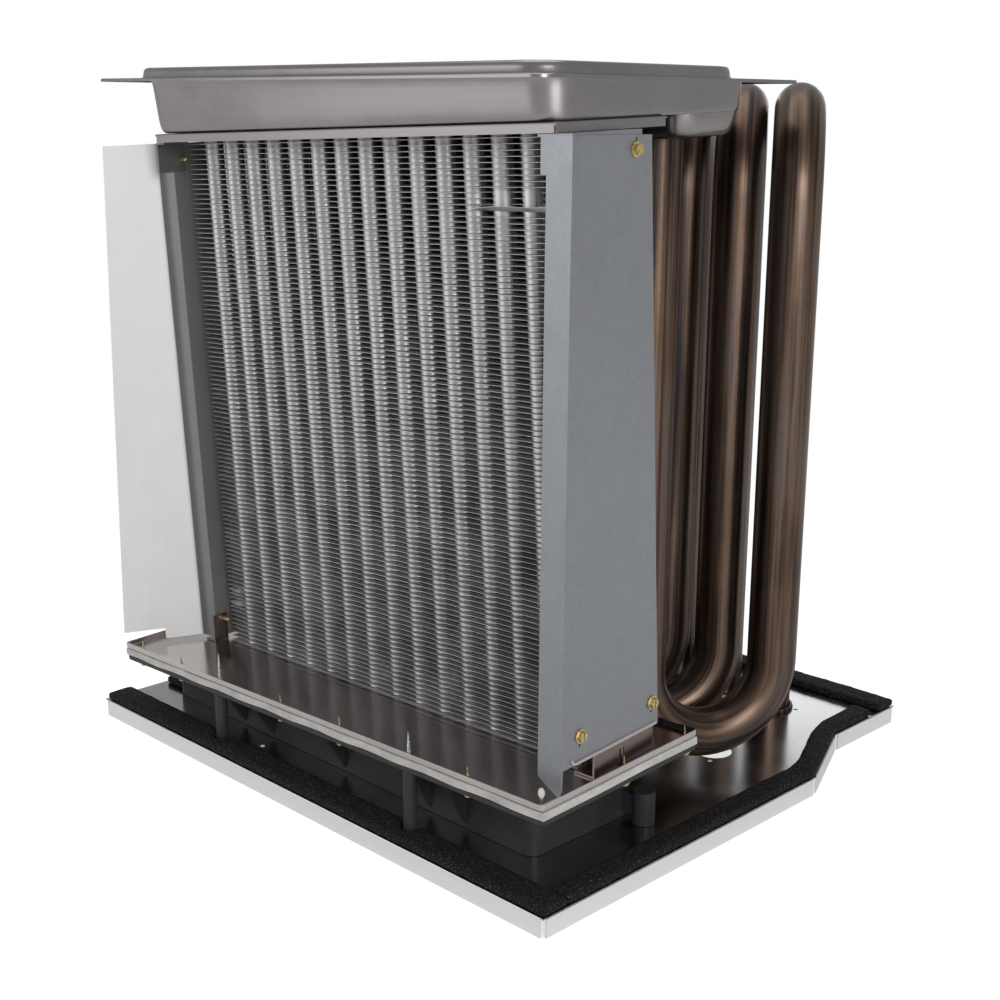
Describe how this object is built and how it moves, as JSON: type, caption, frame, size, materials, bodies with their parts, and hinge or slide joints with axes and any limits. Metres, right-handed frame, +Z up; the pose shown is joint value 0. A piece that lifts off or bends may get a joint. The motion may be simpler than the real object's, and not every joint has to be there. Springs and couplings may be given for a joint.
{
  "type": "heat exchanger",
  "caption": "condensing furnace heat exchanger with a finned secondary coil and bent primary tubes standing on its vestibule panel",
  "frame": {"origin": "centre of the footprint, at the lower edge of the panel's flanges", "axes": "+Z up from the vestibule panel to the coupling cover, +X to the right along the coil, +Y from the coil to the bent tubes"},
  "size_m": [0.535, 0.491, 0.5545],
  "materials": {
    "black_foam": "closed-cell foam",
    "black_plastic": "moulded",
    "brass_screw": "yellow plated",
    "fin_metal": "stacked metal fins",
    "galvanised": "satin coated sheet steel",
    "stainless": "bright stainless sheet",
    "tinted_steel": "heat-tinted steel tube",
    "white_strip": "soft sealing strip",
    "zinc_screw": "zinc plated"
  },
  "bodies": {
    "root": {"bracket_screw_1": "brass_screw", "bracket_screw_2": "brass_screw", "collector_box": "black_plastic", "collector_gasket": "white_strip", "corner_screw": "white_strip", "coupling_cover": "stainless", "coupling_pan": "stainless", "fin_pack": "fin_metal", "flange_screw_1": "brass_screw", "flange_screw_2": "brass_screw", "flange_screw_3": "brass_screw", "flange_screw_4": "brass_screw", "flange_screw_5": "brass_screw", "flange_screw_6": "brass_screw", "flange_screw_7": "brass_screw", "gasket_back": "black_foam", "gasket_front": "black_foam", "gasket_left": "black_foam", "gasket_right": "black_foam", "inlet_collar_1": "tinted_steel", "inlet_collar_2": "tinted_steel", "inlet_collar_3": "tinted_steel", "inlet_collar_4": "tinted_steel", "inlet_collar_5": "tinted_steel", "inlet_collar_6": "tinted_steel", "inlet_collar_7": "tinted_steel", "left_baffle": "galvanised", "left_lower_bracket": "stainless", "left_upper_bracket": "galvanised", "lower_tube_sheet": "stainless", "plate_screw_1": "brass_screw", "plate_screw_2": "brass_screw", "plate_screw_3": "brass_screw", "post_screw_left": "zinc_screw", "post_screw_right": "zinc_screw", "right_baffle": "galvanised", "right_lower_bracket": "stainless", "right_upper_bracket": "galvanised", "serpentine_tube_1": "tinted_steel", "serpentine_tube_2": "tinted_steel", "serpentine_tube_3": "tinted_steel", "serpentine_tube_4": "tinted_steel", "serpentine_tube_5": "tinted_steel", "serpentine_tube_6": "tinted_steel", "serpentine_tube_7": "tinted_steel", "upper_header_plate": "stainless", "vestibule_panel": "galvanised"}
  },
  "joints": []
}
